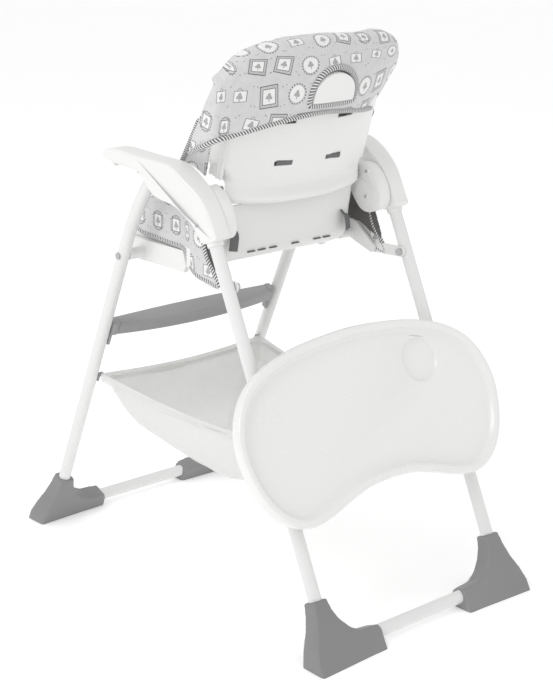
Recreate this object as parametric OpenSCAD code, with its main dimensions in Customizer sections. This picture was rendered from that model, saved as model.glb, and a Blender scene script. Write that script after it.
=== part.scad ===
// Folding baby high chair on two U-shaped tube frames.
// +X is the sitter's left, -Y is the front, +Z is up. The origin lies on the floor, at the middle
// of the four feet. The front frame carries the seat; the rear frame carries the arms and the
// stored tray, and folds forward about the two hubs beside the back rest.

/* [Frame] */
// Distance from the middle to where each leg meets the floor
leg_reach = 396; // [380:1:410]
// Lean of the legs from the vertical, in degrees
leg_lean = 24.4; // [23:0.1:25.5]
// Distance from the middle plane to a leg's axis
leg_x = 200; // [198:1:202]
// Outer diameter of the leg tube
tube_d = 22; // [20:1:22]
// Wall of the leg tube
tube_wall = 1.2; // [1:0.1:2]
// Bend radius at the tube's axis
bend_r = 80; // [70:1:90]
// Height of the floor tube's axis
floor_tube_z = 20; // [18:1:24]

/* [Hub] */
// Hub axis, distance behind the middle
hub_y = 56; // [54:1:58]
// Hub axis, height
hub_z = 700; // [698:1:702]
// Diameter of the hub pin
hub_pin_d = 10; // [8:1:11]
// Radial clearance of every running fit
fit = 0.06; // [0.03:0.01:0.09]

/* [Seat] */
// Half width inside the seat shell's side walls
seat_half = 148; // [147:1:149]
// Height of the seat shell's underside
seat_z = 548; // [546:1:550]
// Thickness of the moulded walls
wall = 3; // [2.5:0.1:3.2]

/* [Back rest] */
// Lean of the back rest from the vertical, in degrees
back_lean = 16.7; // [15:0.1:18]
// Length of the back shell above its foot
back_len = 285; // [275:1:290]
// Half width of the fabric hood
hood_half = 214; // [205:1:220]

/* [Tray] */
// Half width of the tray
tray_half = 288; // [280:1:292]
// Sideways offset of the tray as it hangs on the rear legs
tray_x = 6; // [0:1:10]

/* [Hidden] */
$fn = 48;
tube_r = tube_d / 2;
cl = cos(leg_lean);
sn = sin(leg_lean);
floor_s = floor_tube_z / cl;
bend_s = floor_s + bend_r;
bend_x = leg_x - bend_r;
front_top_s = 735 / cl;
rear_top_s = 668 / cl;
arm_in = 184;
arm_out = 224;
arm_wall = 2.5;
house_in = 158.3;
house_out = 183.8;
bracket_x = 211.2;
bracket_t = 4;
pin_in = 141;
pin_out = 220;
ear_t = 5;
rear_rivet_z = 560;
front_rivet_z = 563;
link_m_y = 76;
link_m_z = 557;
link_x = 184.4;
link_t = 4;
lug_x = 178;
lug_t = 5;
back_foot_y = 69;
back_foot_z = 650;
lip_r = 58;
footrest_s = 428 / cl;
foot_end = 188.6;
bar_bulge = 14;
foot_half_y = 24;
SIDES = [-1, 1];

// Side outline of an arm: front tip, top, elbow and the socket for the rear leg.
ARM = [
  [-170, 735], [-156, 745], [-132, 750], [-92, 749], [-10, 746], [26, 744], [48, 734], [73, 719],
  [96, 701], [113, 678], [126, 652], [130, 638], [101, 626], [90, 639], [75, 659], [56, 673],
  [31, 686], [-12, 684], [-34, 697], [-52, 711], [-60, 722], [-99, 723], [-142, 725], [-156, 731]
];
// Room under the arm's skin, in which the front leg's bracket swings.
ARM_ROOM = [
  [-84, 745], [-10, 742], [24, 740], [46, 730], [74, 711], [74, 683], [66, 650], [-84, 650]
];
// Half outline of the tray, as [half width share, distance up the leg].
TRAY = [
  [0, 508], [0.25, 504], [0.48, 495], [0.70, 476], [0.86, 448], [0.96, 408], [1, 362], [0.985, 318],
  [0.93, 274], [0.84, 240], [0.73, 221], [0.62, 216], [0.48, 224], [0.30, 240], [0.12, 250]
];

function lerp_cr(a, b, c, d, t) =
  0.5 * ((2 * b) + (c - a) * t + (2 * a - 5 * b + 4 * c - d) * t * t
  + (3 * b - a - 3 * c + d) * t * t * t);
function smooth_loop(p, n) = let (m = len(p)) [
  for (i = [0:m - 1]) for (k = [0:n - 1])
    lerp_cr(p[(i + m - 1) % m], p[i], p[(i + 1) % m], p[(i + 2) % m], k / n)
];
function whole_tray() = let (m = len(TRAY)) concat(
  [for (p = TRAY) [p[0] * tray_half, p[1]]],
  [for (i = [m - 1:-1:1]) [-TRAY[i][0] * tray_half, TRAY[i][1]]]
);
// Moves each point of a clockwise loop inward by d.
function inset(p, d) = let (m = len(p)) [
  for (i = [0:m - 1])
    let (t = p[(i + 1) % m] - p[(i + m - 1) % m], u = t / norm(t)) p[i] + d * [u[1], -u[0]]
];
function arc(r, a0, a1, n) = [for (i = [0:n]) r * [cos(a0 + (a1 - a0) * i / n), sin(a0 + (a1 - a0) * i / n)]];

// ---- placing helpers ----
module on_front() { translate([0, -leg_reach, 0]) rotate([-leg_lean, 0, 0]) children(); }
module on_rear() { translate([0, leg_reach, 0]) rotate([leg_lean, 0, 0]) children(); }
module on_back() { translate([0, back_foot_y, back_foot_z]) rotate([-back_lean, 0, 0]) children(); }
// Extrudes a side outline (Y, Z) from x0 to x1 on one side.
module side(s, x0, x1) {
  translate([s > 0 ? x0 : -x1, 0, 0]) rotate([90, 0, 90]) linear_extrude(x1 - x0) children();
}
module x_rod(s, x0, x1, y, z, r) {
  translate([s > 0 ? x0 : -x1, y, z]) rotate([0, 90, 0]) cylinder(h = x1 - x0, r = r);
}
module x_plate(s, x0, x1, pts) { side(s, x0, x1) polygon(pts); }

// ---- tubes and feet ----
module u_bar(r, top) {
  for (s = SIDES) {
    translate([s * leg_x, 0, bend_s]) cylinder(h = top - bend_s, r = r);
    translate([s * bend_x, 0, bend_s]) rotate([90, 0, 0]) mirror([s < 0 ? 1 : 0, 0, 0])
      rotate([0, 0, -90]) rotate_extrude(angle = 90) translate([bend_r, 0]) circle(r = r);
  }
  translate([-bend_x, 0, floor_s]) rotate([0, 90, 0]) cylinder(h = 2 * bend_x, r = r);
}
module u_tube(top) {
  difference() {
    u_bar(tube_r, top);
    u_bar(tube_r - tube_wall, top + 1);
  }
}
module foot_solid(s) {
  hull() {
    translate([s * leg_x, 0, 96]) cylinder(h = 6, r = 14);
    translate([s * 204, 0, 8]) cube([78, 2 * foot_half_y, 30], center = true);
  }
  hull() {
    translate([s > 0 ? 97 : -100, 0, floor_s]) rotate([0, 90, 0]) cylinder(h = 3, r = 14);
    translate([s * 136, 0, 6]) cube([78, 2 * foot_half_y - 10, 20], center = true);
  }
}
module foot(s) {
  difference() {
    foot_solid(s);
    u_bar(tube_r, 200);
  }
}
module above_floor() {
  intersection() {
    children();
    translate([-300, -500, 0]) cube([600, 1000, 200]);
  }
}
module front_leg_tube() color("white") on_front() u_tube(front_top_s);
module rear_leg_tube() color("white") on_rear() u_tube(rear_top_s);
module front_foot_left() color("gray") above_floor() on_front() foot(1);
module front_foot_right() color("gray") above_floor() on_front() foot(-1);
module rear_foot_left() color("gray") above_floor() on_rear() foot(1);
module rear_foot_right() color("gray") above_floor() on_rear() foot(-1);
module front_leg_plugs() color("gray") on_front()
  for (s = SIDES) translate([s * leg_x, 0, front_top_s - 8]) {
    cylinder(h = 8, r = tube_r - tube_wall);
    translate([0, 0, 8]) cylinder(h = 2, r = tube_r - 0.5);
  }

// ---- hubs ----
module hub_bracket(s) {
  side(s, bracket_x, bracket_x + bracket_t) difference() {
    union() {
      translate([hub_y, hub_z]) circle(r = 15);
      polygon([[-74, 718], [-68, 737], [-44, 737], [60, 714.5], [50, 686]]);
    }
    translate([hub_y, hub_z]) circle(d = hub_pin_d);
  }
}
module hub_bracket_left() color("silver") hub_bracket(1);
module hub_bracket_right() color("silver") hub_bracket(-1);
module hub_pins() color("silver")
  for (s = SIDES) x_rod(s, pin_in, pin_out, hub_y, hub_z, hub_pin_d / 2);

module arm(s) {
  difference() {
    x_plate(s, arm_in, arm_out, ARM);
    x_plate(s, arm_in + arm_wall, arm_out - arm_wall, ARM_ROOM);
    on_rear() translate([s * leg_x, 0, 600]) cylinder(h = rear_top_s - 600, r = tube_r);
    x_rod(s, arm_in - 1, arm_in + arm_wall + 1, hub_y, hub_z, hub_pin_d / 2 + fit);
  }
  for (y = [-138:9:-96])
    x_plate(s, arm_in + 4, arm_out - 4, [[y, 726], [y + 5, 726], [y + 4, 719.5], [y + 1, 719.5]]);
}
module arm_left() color("white") arm(1);
module arm_right() color("white") arm(-1);

HOUSE = [
  [34, 690], [45, 707], [62, 712], [80, 708], [96, 694], [108, 668], [113, 634], [102, 628], [84, 623],
  [66, 624], [50, 640], [34, 658], [30, 674]
];
module hub_housing(s) {
  difference() {
    x_plate(s, house_in, house_out, HOUSE);
    x_plate(s, house_in + 2.2, house_out + 1, inset(HOUSE, 2.4));
    x_rod(s, house_in - 1, house_in + 3, hub_y, hub_z, hub_pin_d / 2 + fit);
  }
  difference() {
    x_rod(s, house_in + 2.2, house_out, hub_y, hub_z, 9);
    x_rod(s, house_in, house_out + 1, hub_y, hub_z, hub_pin_d / 2 + fit);
  }
}
module hub_housing_left() color("white") hub_housing(1);
module hub_housing_right() color("white") hub_housing(-1);
module housing_screws() color("silver")
  for (s = SIDES) for (p = [[84, 700], [76, 634]])
    x_rod(s, house_in - 1.6, house_in, p[0], p[1], 4);
module latch_bolt(s) { x_rod(s, 172, house_out - 1, 92, 672, 5); }
module latch_bolt_left() color("dimgray") latch_bolt(1);
module latch_bolt_right() color("dimgray") latch_bolt(-1);

// ---- seat ----
module seat_wall(s) {
  side(s, seat_half, seat_half + wall) difference() {
    union() {
      polygon([
        [-190, seat_z], [30, seat_z], [62, 573], [65, 638], [70, 690], [42, 700], [22, 660],
        [-40, 610], [-190, 588]
      ]);
      translate([hub_y, hub_z]) circle(r = 17);
    }
    translate([hub_y, hub_z]) circle(d = hub_pin_d);
  }
}
module seat_shell() color("white") {
  x_plate(1, -seat_half, seat_half, [
    [-190, seat_z], [30, seat_z], [62, 573], [65, 638], [65 - wall, 638], [62 - wall, 574.5],
    [29, seat_z + wall], [-187, seat_z + wall], [-187, 572], [-190, 572]
  ]);
  for (s = SIDES) seat_wall(s);
}
rail_x = seat_half + wall;
module seat_rail(s) {
  difference() {
    union() {
      x_plate(s, rail_x, rail_x + 9, [[-190, 552], [-178, seat_z], [-24, seat_z], [-18, 560], [-26, 585],
        [-176, 585], [-190, 578]]);
      x_rod(s, rail_x, leg_x - 9, -rear_y(front_rivet_z), front_rivet_z, 10);
    }
    on_front() translate([s * leg_x, 0, 500]) cylinder(h = 200, r = tube_r);
    x_rod(s, rail_x - 1, leg_x + 20, -rear_y(front_rivet_z), front_rivet_z, 3);
  }
}
module seat_rail_left() color("white") seat_rail(1);
module seat_rail_right() color("white") seat_rail(-1);
module front_rivets() color("silver")
  for (s = SIDES) translate([0, -rear_y(front_rivet_z), front_rivet_z]) {
    x_rod(s, rail_x + 1, leg_x - tube_r, 0, 0, 3);
    x_rod(s, leg_x + tube_r + 0.1, leg_x + tube_r + 2, 0, 0, 6);
  }
boss_y = 22;
boss_z = 575;
module seat_lug(s) {
  x_rod(s, rail_x, lug_x, boss_y, boss_z, 8);
  side(s, lug_x, lug_x + lug_t) union() {
    polygon([[14, 569], [40, 560], [link_m_y - 2, 549], [link_m_y + 2, 565], [36, 598], [14, 602]]);
    translate([link_m_y, link_m_z]) circle(r = 8.5);
  }
}
module seat_lug_left() color("white") seat_lug(1);
module seat_lug_right() color("white") seat_lug(-1);
module fold_handle() color("gray")
  difference() {
    translate([-45, -150, seat_z - 11]) cube([90, 26, 10.7]);
    translate([-36, -144, seat_z - 12]) cube([72, 14, 8]);
  }

pad_top = 576;
module seat_pad() color("lightgray")
  x_plate(1, -140, 140, [[-184, 554], [26, 554], [50, 574], [50, pad_top + 12], [38, pad_top + 8],
    [20, pad_top], [-176, pad_top], [-184, 570]]);
WING = [
  [-134, 672], [-150, 643], [-160, 619], [-160, 604], [-143, 596], [-89, 592], [-24, 588], [-12, 568],
  [-4, 556], [12, 549], [41, 544], [72, 540], [39, 578], [27, 613], [11, 640], [-15, 665], [-70, 676]
];
module wing(s) {
  difference() {
    x_plate(s, rail_x + 1, rail_x + 5, WING);
    x_rod(s, rail_x, rail_x + 8, boss_y, boss_z, 11);
  }
}
module wing_left() color("lightgray") wing(1);
module wing_right() color("lightgray") wing(-1);
module crotch_strap() color("dimgray")
  translate([-13, -92, pad_top + 0.3]) cube([26, 42, 2.2]);
module lap_straps() color("dimgray")
  for (s = SIDES) translate([s > 0 ? 40 : -136, -34, pad_top + 0.3]) cube([96, 25, 2.2]);
module buckle() color("gray")
  difference() {
    translate([-30, -49, pad_top + 0.3]) cube([60, 40, 14]);
    translate([0, -29, pad_top + 8.3]) cylinder(h = 10, r = 9);
  }
module buckle_button() color("red")
  translate([0, -29, pad_top + 10.5]) cylinder(h = 6, r = 8.7);

// ---- back rest ----
ear_in = seat_half - 1 - ear_t;
module back_shell() color("white") {
  difference() {
    union() {
      on_back() translate([-146, -wall, -6]) cube([292, wall, 80]);
      on_back() translate([-157, -wall, 74]) cube([314, wall, 34]);
      on_back() translate([-170, -wall, 108]) cube([340, wall, back_len - 108]);
      on_back() for (s = SIDES) {
        translate([s > 0 ? 154 : -157, -30, 78]) cube([3, 27.5, 31]);
        translate([s > 0 ? 167 : -170, -34, 108]) cube([3, 31.5, back_len - 108]);
        translate([s > 0 ? 154 : -170, -34, 108]) cube([16, 34, 3]);
      }
      translate([-146, hub_y, hub_z]) rotate([90, 0, 90]) linear_extrude(292)
        polygon(concat(arc(lip_r, -78.5, -112, 8), arc(lip_r - wall, -112, -78.5, 8)));
      for (s = SIDES) side(s, ear_in, ear_in + ear_t) union() {
        translate([hub_y, hub_z]) circle(r = 14);
        polygon([[60, 686.5], [75, 680], [86, 716], [52, 713.5]]);
      }
    }
    for (s = SIDES) {
      x_rod(s, ear_in - 1, ear_in + ear_t + 1, hub_y, hub_z, hub_pin_d / 2 + fit);
      on_back() translate([s * 51 - 20, -8, 104]) cube([40, 16, 6]);
      on_back() translate([s * 59 - 20, -8, 174]) cube([40, 16, 6]);
    }
  }
}
module back_pad() color("lightgray") on_back() difference() {
  union() {
    translate([-136, -32, 8]) cube([272, 26, 100]);
    translate([-150, -34, 112]) cube([300, 28, 170]);
    translate([-136, -32, 107]) cube([272, 26, 6]);
  }
  for (s = SIDES) translate([s * 51 - 20, -50, 104]) cube([40, 60, 6]);
}
hood_lo = 150;
hood_hi = 291;
module hood() color("gainsboro") on_back() difference() {
  hull() {
    translate([-hood_half, -44, hood_lo]) cube([2 * hood_half, 72, 100]);
    translate([-hood_half + 34, -40, hood_hi - 10]) cube([2 * hood_half - 68, 58, 10]);
  }
  hull() {
    translate([-hood_half + 5, -60, hood_lo - 10]) cube([2 * hood_half - 10, 83, 105]);
    translate([-hood_half + 38, -60, hood_hi - 15]) cube([2 * hood_half - 76, 74, 10]);
  }
  translate([-55, 0, 194]) cube([110, 60, 62]);
  for (s = SIDES) translate([s * 125 - 75, 10, hood_lo - 5]) cube([150, 30, 10]);
}
module recline_handle() color("white") on_back() difference() {
  union() {
    translate([-43, 8, 204]) cube([86, 12, 46]);
    translate([-15, 0.4, 208]) cube([30, 8, 20]);
  }
  translate([-35, 4, 214]) cube([70, 12, 30]);
}
module shoulder_straps() color("dimgray") on_back() for (s = SIDES)
  translate([s * 51 - 13, -34.6, 14]) cube([26, 2.2, 89]);
module strap_keepers() color("gray") on_back() for (s = SIDES)
  translate([s * 51 - 22, 0.1, 98]) difference() {
    cube([44, 5, 18]);
    translate([3, -1, 5]) cube([38, 7, 8]);
  }

// ---- folding links ----
function rear_y(z) = leg_reach - z * sn / cl;
module link(s) {
  side(s, link_x, link_x + link_t) difference() {
    hull() {
      translate([rear_y(rear_rivet_z), rear_rivet_z]) circle(r = 9);
      translate([link_m_y, link_m_z]) circle(r = 9);
    }
    translate([rear_y(rear_rivet_z), rear_rivet_z]) circle(r = 3 + fit);
  }
}
module link_left() color("white") link(1);
module link_right() color("white") link(-1);
module link_rivets(s) {
  x_rod(s, lug_x + 0.8, leg_x - tube_r - 0.1, rear_y(rear_rivet_z), rear_rivet_z, 3);
  x_rod(s, lug_x + 0.8, link_x - 0.4, rear_y(rear_rivet_z), rear_rivet_z, 6);
}
module link_rivets_left() color("silver") link_rivets(1);
module link_rivets_right() color("silver") link_rivets(-1);

// ---- footrest ----
module footrest() color("gray") on_front() translate([0, 0, footrest_s]) {
  for (s = SIDES) translate([s > 0 ? 174 : -foot_end, -11, -34]) cube([foot_end - 174, 20, 44]);
  translate([0, 0, -15]) linear_extrude(27) polygon(concat(
    [for (i = [-8:8]) [i * 22, 13 + bar_bulge * (1 - pow(i / 8, 2))]],
    [[176, -12], [-176, -12]]
  ));
}

// ---- basket ----
basket_top = 316;
basket_y = basket_top * sn / cl;
module basket_solid(d, extra) {
  hull() {
    translate([-182 + d, -leg_reach + basket_y + 17 + d, basket_top - 3])
      cube([364 - 2 * d, 2 * (leg_reach - basket_y - 17 - d), 3 + extra]);
    translate([-160 + d, -172 + d, 236 + d]) cube([320 - 2 * d, 372 - 2 * d, 8]);
    translate([-136 + d, -106 + d, 198 + d]) cube([272 - 2 * d, 256 - 2 * d, 4]);
  }
}
module basket() color("whitesmoke") difference() {
  basket_solid(0, 0);
  basket_solid(2.5, 8);
}
module basket_clips() color("white")
  for (s = SIDES) on_front() difference() {
    translate([s * leg_x, 0, basket_top / cl - 14]) cylinder(h = 20, r = 14);
    translate([s * leg_x, 0, basket_top / cl - 20]) cylinder(h = 40, r = tube_r);
  }

// ---- tray ----
module tray_plate(d, w0, w1) {
  on_rear() translate([tray_x, w1, 0]) rotate([90, 0, 0]) linear_extrude(w1 - w0)
    polygon(inset(smooth_loop(whole_tray(), 3), d));
}
hook_s = 330;
module tray_hook(s) {
  on_rear() difference() {
    union() {
      translate([s * leg_x, 0, hook_s - 14]) cylinder(h = 28, r = 14);
      translate([s * leg_x, 0, hook_s]) rotate([-90, 0, 0]) cylinder(h = 25, r = 5);
    }
    translate([s * leg_x, 0, hook_s - 20]) cylinder(h = 40, r = tube_r);
  }
}
module tray_hook_left() color("gray") tray_hook(1);
module tray_hook_right() color("gray") tray_hook(-1);
module tray_base() color("white") difference() {
  tray_plate(6, 17, 38);
  tray_plate(9, 20, 39);
  for (s = SIDES) on_rear() translate([s * leg_x, 10, hook_s]) rotate([-90, 0, 0])
    cylinder(h = 20, r = 6);
}
module tray_insert() color("white") difference() {
  tray_plate(0, 27, 43);
  tray_plate(16, 31, 44);
  tray_plate(13, 20, 28.5);
  difference() {
    tray_plate(2.5, 26, 39);
    tray_plate(13, 25, 40);
  }
}
module tray_lever(s) {
  on_rear() translate([tray_x + s * 236 - 22, 12, hook_s + 20]) cube([44, 4.6, 26]);
}
module tray_lever_left() color("gray") tray_lever(1);
module tray_lever_right() color("gray") tray_lever(-1);

front_leg_tube();
front_foot_left();
front_foot_right();
front_leg_plugs();
hub_bracket_left();
hub_bracket_right();
hub_pins();
front_rivets();
seat_shell();
seat_rail_left();
seat_rail_right();
seat_lug_left();
seat_lug_right();
seat_pad();
wing_left();
wing_right();
crotch_strap();
lap_straps();
buckle();
buckle_button();
basket();
basket_clips();
footrest();
fold_handle();
rear_leg_tube();
rear_foot_left();
rear_foot_right();
arm_left();
arm_right();
hub_housing_left();
hub_housing_right();
housing_screws();
tray_hook_left();
tray_hook_right();
latch_bolt_left();
latch_bolt_right();
link_left();
link_right();
link_rivets_left();
link_rivets_right();
back_shell();
back_pad();
hood();
recline_handle();
shoulder_straps();
strap_keepers();
tray_base();
tray_lever_left();
tray_lever_right();
tray_insert();
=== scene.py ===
import math
import bmesh
import bpy
from mathutils import Matrix, Vector, noise


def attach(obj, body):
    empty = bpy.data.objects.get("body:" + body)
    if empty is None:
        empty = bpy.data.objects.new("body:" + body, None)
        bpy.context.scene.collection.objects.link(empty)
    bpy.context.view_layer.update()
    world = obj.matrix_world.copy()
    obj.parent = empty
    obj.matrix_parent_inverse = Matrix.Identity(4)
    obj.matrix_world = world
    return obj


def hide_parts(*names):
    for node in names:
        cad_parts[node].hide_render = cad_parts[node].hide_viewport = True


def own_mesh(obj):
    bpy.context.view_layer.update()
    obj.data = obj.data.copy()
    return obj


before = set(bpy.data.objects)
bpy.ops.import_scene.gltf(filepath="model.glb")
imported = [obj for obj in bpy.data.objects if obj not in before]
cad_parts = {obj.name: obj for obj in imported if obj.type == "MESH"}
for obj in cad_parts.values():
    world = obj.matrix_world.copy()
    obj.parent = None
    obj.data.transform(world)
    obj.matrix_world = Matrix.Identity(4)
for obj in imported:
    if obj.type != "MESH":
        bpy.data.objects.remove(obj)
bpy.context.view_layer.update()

# ---------------------------------------------------------------------------------------------
# Sizes, in millimetres, in the frame of the chair: +X the sitter's left, -Y the front, +Z up
# ---------------------------------------------------------------------------------------------
MM = 0.001
LEG_REACH = 396.0
LEG_LEAN = math.radians(24.4)
LEG_X = 200.0
TUBE_R = 11.0
BEND_R = 80.0
FLOOR_S = 20.0 / math.cos(LEG_LEAN)
BACK_LEAN = math.radians(16.7)
BACK_FOOT = (0.0, 69.0, 650.0)
HUB_Y, HUB_Z = 56.0, 700.0
SIDES = {"left": 1, "right": -1}

HERE = Matrix.Identity(4)
ON_FRONT = Matrix.Translation((0, -LEG_REACH, 0)) @ Matrix.Rotation(-LEG_LEAN, 4, "X")
ON_REAR = Matrix.Translation((0, LEG_REACH, 0)) @ Matrix.Rotation(LEG_LEAN, 4, "X")
ON_BACK = Matrix.Translation(BACK_FOOT) @ Matrix.Rotation(-BACK_LEAN, 4, "X")


# ---------------------------------------------------------------------------------------------
# Shader helpers
# ---------------------------------------------------------------------------------------------
def join(tree, value, socket):
    """Sets a socket to a number, or links another socket to it."""
    if isinstance(value, bpy.types.NodeSocket):
        tree.links.new(value, socket)
    else:
        socket.default_value = value


def calc(tree, operation, *values, clamp=False):
    node = tree.nodes.new("ShaderNodeMath")
    node.operation = operation
    node.use_clamp = clamp
    for value, socket in zip(values, node.inputs):
        join(tree, value, socket)
    return node.outputs[0]


def vector_calc(tree, operation, *values):
    node = tree.nodes.new("ShaderNodeVectorMath")
    node.operation = operation
    for value, socket in zip(values, node.inputs):
        join(tree, value, socket)
    return node.outputs[0]


def ramp(tree, value, low, high, out_low=0.0, out_high=1.0):
    node = tree.nodes.new("ShaderNodeMapRange")
    for socket, number in zip(node.inputs, (value, low, high, out_low, out_high)):
        join(tree, number, socket)
    return node.outputs[0]


def blend_colour(tree, factor, first, second):
    node = tree.nodes.new("ShaderNodeMix")
    node.data_type = "RGBA"
    join(tree, factor, node.inputs["Factor"])
    join(tree, first, node.inputs["A"])
    join(tree, second, node.inputs["B"])
    return node.outputs["Result"]


def noise_value(tree, place, scale, detail=2.0, roughness=0.5):
    node = tree.nodes.new("ShaderNodeTexNoise")
    join(tree, place, node.inputs["Vector"])
    node.inputs["Scale"].default_value = scale
    node.inputs["Detail"].default_value = detail
    node.inputs["Roughness"].default_value = roughness
    return node.outputs["Fac"]


def group(name, inputs, outputs):
    """A shader node group with named inputs and outputs."""
    tree = bpy.data.node_groups.new(name, "ShaderNodeTree")
    for label, kind in inputs:
        tree.interface.new_socket(label, in_out="INPUT", socket_type=kind)
    for label, kind in outputs:
        tree.interface.new_socket(label, in_out="OUTPUT", socket_type=kind)
    start = tree.nodes.new("NodeGroupInput")
    end = tree.nodes.new("NodeGroupOutput")
    return tree, start.outputs, end.inputs


def use(tree, made_group, **values):
    node = tree.nodes.new("ShaderNodeGroup")
    node.node_tree = made_group
    for label, value in values.items():
        join(tree, value, node.inputs[label.replace("_", " ")])
    return node.outputs


FLOAT, VECTOR, COLOUR = "NodeSocketFloat", "NodeSocketVector", "NodeSocketColor"


def make_mould_group():
    """Fine moulded surface: a faint grain, broad tone drift and a little dust in patches."""
    tree, start, end = group(
        "moulded_surface",
        [("Place", VECTOR), ("Grain", FLOAT)],
        [("Tone", FLOAT), ("Rough", FLOAT), ("Height", FLOAT)],
    )
    broad = noise_value(tree, start["Place"], 2.6, 1.0)
    fine = noise_value(tree, start["Place"], 1400.0, 1.0)
    haze = noise_value(tree, start["Place"], 14.0, 3.0, 0.5)
    join(tree, ramp(tree, broad, 0.3, 0.7, 0.0, 1.0), end["Tone"])
    join(tree, ramp(tree, haze, 0.35, 0.7, 0.0, 1.0), end["Rough"])
    join(tree, calc(tree, "MULTIPLY", fine, start["Grain"]), end["Height"])
    return tree


def make_weave_group():
    """Plain weave: threads over and under along the two directions of the cloth."""
    tree, start, end = group(
        "plain_weave",
        [("Place", VECTOR), ("Thread", FLOAT)],
        [("Height", FLOAT), ("Tone", FLOAT)],
    )
    split = tree.nodes.new("ShaderNodeSeparateXYZ")
    join(tree, start["Place"], split.inputs[0])
    turn = calc(tree, "DIVIDE", math.pi, start["Thread"])
    across = calc(tree, "SINE", calc(tree, "MULTIPLY", split.outputs[0], turn))
    along = calc(tree, "SINE", calc(tree, "MULTIPLY", split.outputs[1], turn))
    check = calc(tree, "MULTIPLY", across, along)
    slub = noise_value(tree, start["Place"], 0.09, 3.0)
    height = calc(tree, "MULTIPLY_ADD", check, 0.5, calc(tree, "MULTIPLY", slub, 0.8))
    join(tree, height, end["Height"])
    join(tree, ramp(tree, calc(tree, "ADD", height, slub), 0.2, 1.6), end["Tone"])
    return tree


def outline(tree, distance, radius, width):
    """1 on a line of the given width at a distance from a centre, else 0."""
    away = calc(tree, "ABSOLUTE", calc(tree, "SUBTRACT", distance, radius))
    return ramp(tree, away, width * 0.5, width * 0.5 + 0.5, 1.0, 0.0)


def inside(tree, distance, radius):
    return ramp(tree, distance, radius - 0.3, radius + 0.3, 1.0, 0.0)


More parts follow.
